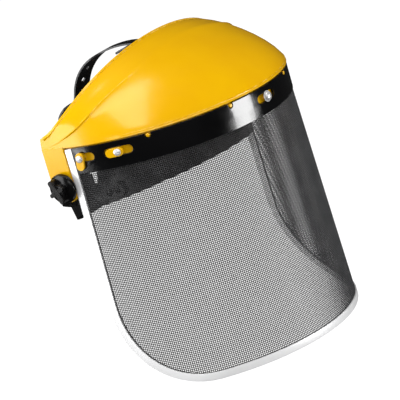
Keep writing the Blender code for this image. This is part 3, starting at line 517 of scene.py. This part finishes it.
def floor():
    """Pale floor that only the camera sees; it gives and takes no light."""
    bm = bmesh.new()
    bmesh.ops.create_grid(bm, x_segments=1, y_segments=1, size=FLOOR_HALF)
    mesh = bpy.data.meshes.new("floor")
    bm.to_mesh(mesh)
    bm.free()
    base = add_object("floor", mesh)
    base.location = (0, 0, FLOOR_Z)
    look = Look("floor_paint", (0.2, 0.2, 0.2), 0.9)
    look.tint(look.noise(3, 2), (0.21, 0.21, 0.21), (0.19, 0.19, 0.19))
    look.set("Emission Color", (1.0, 1.0, 1.0, 1.0))
    look.set("Emission Strength", FLOOR_GLOW)
    base.data.materials.append(look.mat)
    base.visible_glossy = False
    base.visible_shadow = False
    base.visible_diffuse = False


def world_light():
    """White where the camera sees it, nearly black in reflections, in between as fill."""
    world = bpy.data.worlds.new("studio")
    bpy.context.scene.world = world
    world.use_nodes = True
    tree = world.node_tree
    path = tree.nodes.new("ShaderNodeLightPath")
    out = tree.nodes["Background"].outputs["Background"]
    tree.nodes["Background"].inputs["Color"].default_value = (1, 1, 1, 1)
    tree.nodes["Background"].inputs["Strength"].default_value = FILL_STRENGTH
    for ray, strength in (("Is Glossy Ray", GLOSS_STRENGTH), ("Is Camera Ray", BACKDROP_STRENGTH)):
        ground = tree.nodes.new("ShaderNodeBackground")
        ground.inputs["Strength"].default_value = strength
        ground.inputs["Color"].default_value = (1, 1, 1, 1)
        mix = tree.nodes.new("ShaderNodeMixShader")
        tree.links.new(path.outputs[ray], mix.inputs["Fac"])
        tree.links.new(out, mix.inputs[1])
        tree.links.new(ground.outputs["Background"], mix.inputs[2])
        out = mix.outputs["Shader"]
    tree.links.new(out, tree.nodes["World Output"].inputs["Surface"])


def softbox(name, centre, aim, width, height, radiance, gloss=True, spin=0.0):
    """Rectangular soft light of a given brightness; spin turns it about its own beam."""
    data = bpy.data.lights.new(name, "AREA")
    data.shape = "RECTANGLE"
    data.size, data.size_y = width, height
    data.energy = radiance * math.pi * width * height
    lamp = add_object(name, data)
    way = (Vector(centre) - Vector(aim)).normalized()
    turn = way.to_track_quat("Z", "Y").to_matrix() @ Matrix.Rotation(spin, 3, "Z")
    lamp.matrix_world = Matrix.Translation(centre) @ turn.to_4x4()
    lamp.visible_glossy = gloss
    lamp.visible_camera = False


def ahead(azimuth, elevation, distance):
    """A point in that direction from the face; azimuth 0 is ahead, 90 the wearer's right."""
    a, e = math.radians(azimuth), math.radians(elevation)
    return (-math.sin(a) * math.cos(e) * distance,
            FACE_Y - math.cos(a) * math.cos(e) * distance,
            math.sin(e) * distance)


def studio():
    softbox("top_strip", TOP_STRIP, (*TOP_STRIP[:2], 0.0), 2.7, 0.6, 5.4, spin=TOP_STRIP_SPIN)
    softbox("side_box", ahead(126, 14, 1.7), DOME, 1.0, 1.5, 6.0)
    softbox("low_card", ahead(-21, -11, 1.5), BAND, 0.52, 0.5, 15.0)
    softbox("rim_strip", ahead(45, 17, 1.8), BAND, 3.2, 0.42, 3.0)
    softbox("back_fill", ahead(-150, 55, 2.2), DOME, 1.4, 1.2, 1.8, gloss=False)
    softbox("fill", ahead(45, 25, 2.2), DOME, 1.4, 1.0, 1.1, gloss=False)


# ---- camera -------------------------------------------------------------------------------
VIEW_AZIMUTH = math.radians(-51.7)
VIEW_ELEVATION = math.radians(13.96)
VIEW_ROLL = math.radians(16.25)
FOCAL = 6.75                  # in frame widths
AIM = Vector((0, -0.047, -0.026))
DISTANCE = 2.4246
SHIFT = (-0.0165, -0.055625)  # in frame widths
SENSOR = 36.0
CLIP_END = 50.0


def camera():
    sin_a, cos_a = math.sin(VIEW_AZIMUTH), math.cos(VIEW_AZIMUTH)
    sin_e, cos_e = math.sin(VIEW_ELEVATION), math.cos(VIEW_ELEVATION)
    back = Vector((sin_a * cos_e, -cos_a * cos_e, sin_e))
    right = Vector((cos_a, sin_a, 0))
    up = back.cross(right)
    side = right * math.cos(VIEW_ROLL) - up * math.sin(VIEW_ROLL)
    rise = right * math.sin(VIEW_ROLL) + up * math.cos(VIEW_ROLL)
    data = bpy.data.cameras.new("camera")
    data.sensor_width = SENSOR
    data.lens = FOCAL * SENSOR
    data.shift_x, data.shift_y = SHIFT
    data.clip_end = CLIP_END
    cam = add_object("camera", data)
    turn = Matrix((side, rise, back)).transposed().to_4x4()
    cam.matrix_world = Matrix.Translation(AIM + back * DISTANCE) @ turn
    bpy.context.scene.camera = cam


def main():
    camera()
    world_light()
    floor()
    studio()
    smooth_cad()
    metal = zinc()
    fibre = washer_fibre()
    wire = wire_metal()
    towel = towelling()
    dress((("browguard", yellow_plastic("yellow_plastic")),
           ("toggle_screw", metal),
           ("toggle", yellow_plastic("lever_plastic")),
           ("visor_top_band", band_plastic()),
           ("visor_edge_binding", aluminium()),
           ("visor_mesh", wire),
           ("centre_stud", metal),
           ("binding_rivet", metal),
           ("pivot_bolt", metal),
           ("outer_washer", fibre),
           ("inner_washer", fibre),
           ("pivot_knob", harness_plastic("knob_plastic", 0.002, (0.16, 0.26), 0.25)),
           ("sweatband", towel),
           ("", harness_plastic("harness_plastic"))))
    woven_visor(wire)
    stitching(padded_sweatband(towel), thread())
    bpy.context.scene.view_settings.view_transform = "Standard"


main()
